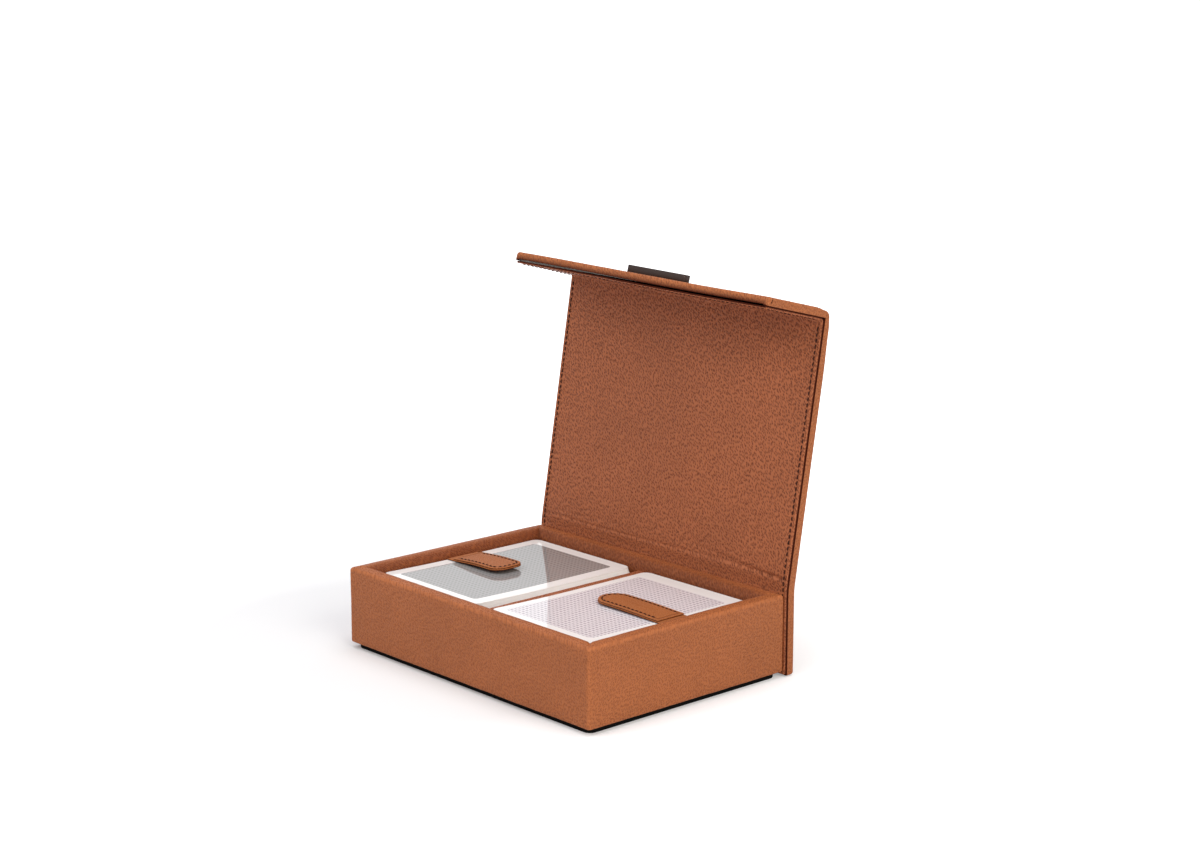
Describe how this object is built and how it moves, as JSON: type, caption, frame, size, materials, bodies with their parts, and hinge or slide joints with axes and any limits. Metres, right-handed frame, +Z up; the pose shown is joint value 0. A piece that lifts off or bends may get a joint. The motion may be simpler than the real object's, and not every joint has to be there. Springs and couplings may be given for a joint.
{
  "type": "playing card box",
  "caption": "Leather-covered box holding two decks of playing cards side by side, with pull tabs and a hinged cover with a front flap and a metal bar.",
  "frame": {"origin": "middle of the flat underside that the tray stands on", "axes": "+X to the right along the long front, +Y to the back where the cover is hinged, +Z up"},
  "size_m": [0.155, 0.1333, 0.1637],
  "materials": {
    "grained_leather": "pebble-grained, satin",
    "lining_leather": "pebble-grained, satin",
    "tab_leather": "grained, satin",
    "greyboard": "pressed card, matte",
    "foam": "soft foam, matte",
    "black_felt": "felt, matte",
    "card_stock": "plastic-coated card, glossy",
    "card_back": "printed lattice with a white border, glossy",
    "dark_metal": "dark bronze, satin",
    "magnet": "plated"
  },
  "bodies": {
    "tray": {"base_pad": "black_felt", "base_infill_card": "greyboard", "base_board": "greyboard", "front_wall_leather": "grained_leather", "front_wall_board": "greyboard", "rear_wall_leather": "grained_leather", "rear_wall_board": "greyboard", "left_wall_leather": "grained_leather", "left_wall_board": "greyboard", "right_wall_leather": "grained_leather", "right_wall_board": "greyboard", "front_rim_pad": "foam", "rear_rim_pad": "foam", "left_rim_pad": "foam", "right_rim_pad": "foam", "tray_magnets": "magnet", "left_raised_floor": "greyboard", "left_floor_lining": "lining_leather", "right_raised_floor": "greyboard", "right_floor_lining": "lining_leather", "divider_board": "greyboard", "divider_leather": "grained_leather", "left_strap_run": "tab_leather", "right_strap_run": "tab_leather", "spine_board": "greyboard", "spine_lining": "lining_leather", "spine_leather": "grained_leather"},
    "lid": {"lid_board": "greyboard", "lid_lining": "lining_leather", "lid_leather": "grained_leather", "lid_hinge_lining": "lining_leather", "lid_hinge_leather": "grained_leather", "flap_hinge_lining": "lining_leather", "flap_hinge_leather": "grained_leather"},
    "flap": {"flap_board": "greyboard", "flap_lining": "lining_leather", "flap_leather": "grained_leather", "flap_magnets": "magnet", "clasp_bar": "dark_metal", "bar_pins": "dark_metal"},
    "left_deck": {"left_deck_cards": "card_stock", "left_deck_top_card": "card_back", "left_strap_riser": "tab_leather"},
    "right_deck": {"right_deck_cards": "card_stock", "right_deck_top_card": "card_back", "right_strap_riser": "tab_leather"},
    "left_tab": {"left_tab_lower_ply": "tab_leather", "left_tab_upper_ply": "tab_leather"},
    "right_tab": {"right_tab_lower_ply": "tab_leather", "right_tab_upper_ply": "tab_leather"}
  },
  "joints": [
    {"name": "lid_hinge", "type": "hinge", "parent": "tray", "child": "lid", "pos_m": [0, 0.0557, 0.03755], "axis": [-1, 0, 0], "range_deg": [-99.7, 80.3], "deforming": ["lid_hinge_lining", "lid_hinge_leather"]},
    {"name": "flap_hinge", "type": "hinge", "parent": "lid", "child": "flap", "pos_m": [0, 0.07501, 0.15051], "axis": [-1, 0, 0], "range_deg": [-5.5, 84.5], "deforming": ["flap_hinge_lining", "flap_hinge_leather"]},
    {"name": "left_deck_lift", "type": "slide", "parent": "tray", "child": "left_deck", "axis": [0, 0, 1], "range_m": [0, 0.04], "deforming": ["left_strap_riser"]},
    {"name": "right_deck_lift", "type": "slide", "parent": "tray", "child": "right_deck", "axis": [0, 0, 1], "range_m": [0, 0.04], "deforming": ["right_strap_riser"]},
    {"name": "left_tab_hinge", "type": "hinge", "parent": "left_deck", "child": "left_tab", "pos_m": [-0.0667, 0, 0.03175], "axis": [0, -1, 0], "range_deg": [0, 85]},
    {"name": "right_tab_hinge", "type": "hinge", "parent": "right_deck", "child": "right_tab", "pos_m": [0.0667, 0, 0.03175], "axis": [0, 1, 0], "range_deg": [0, 85]}
  ]
}
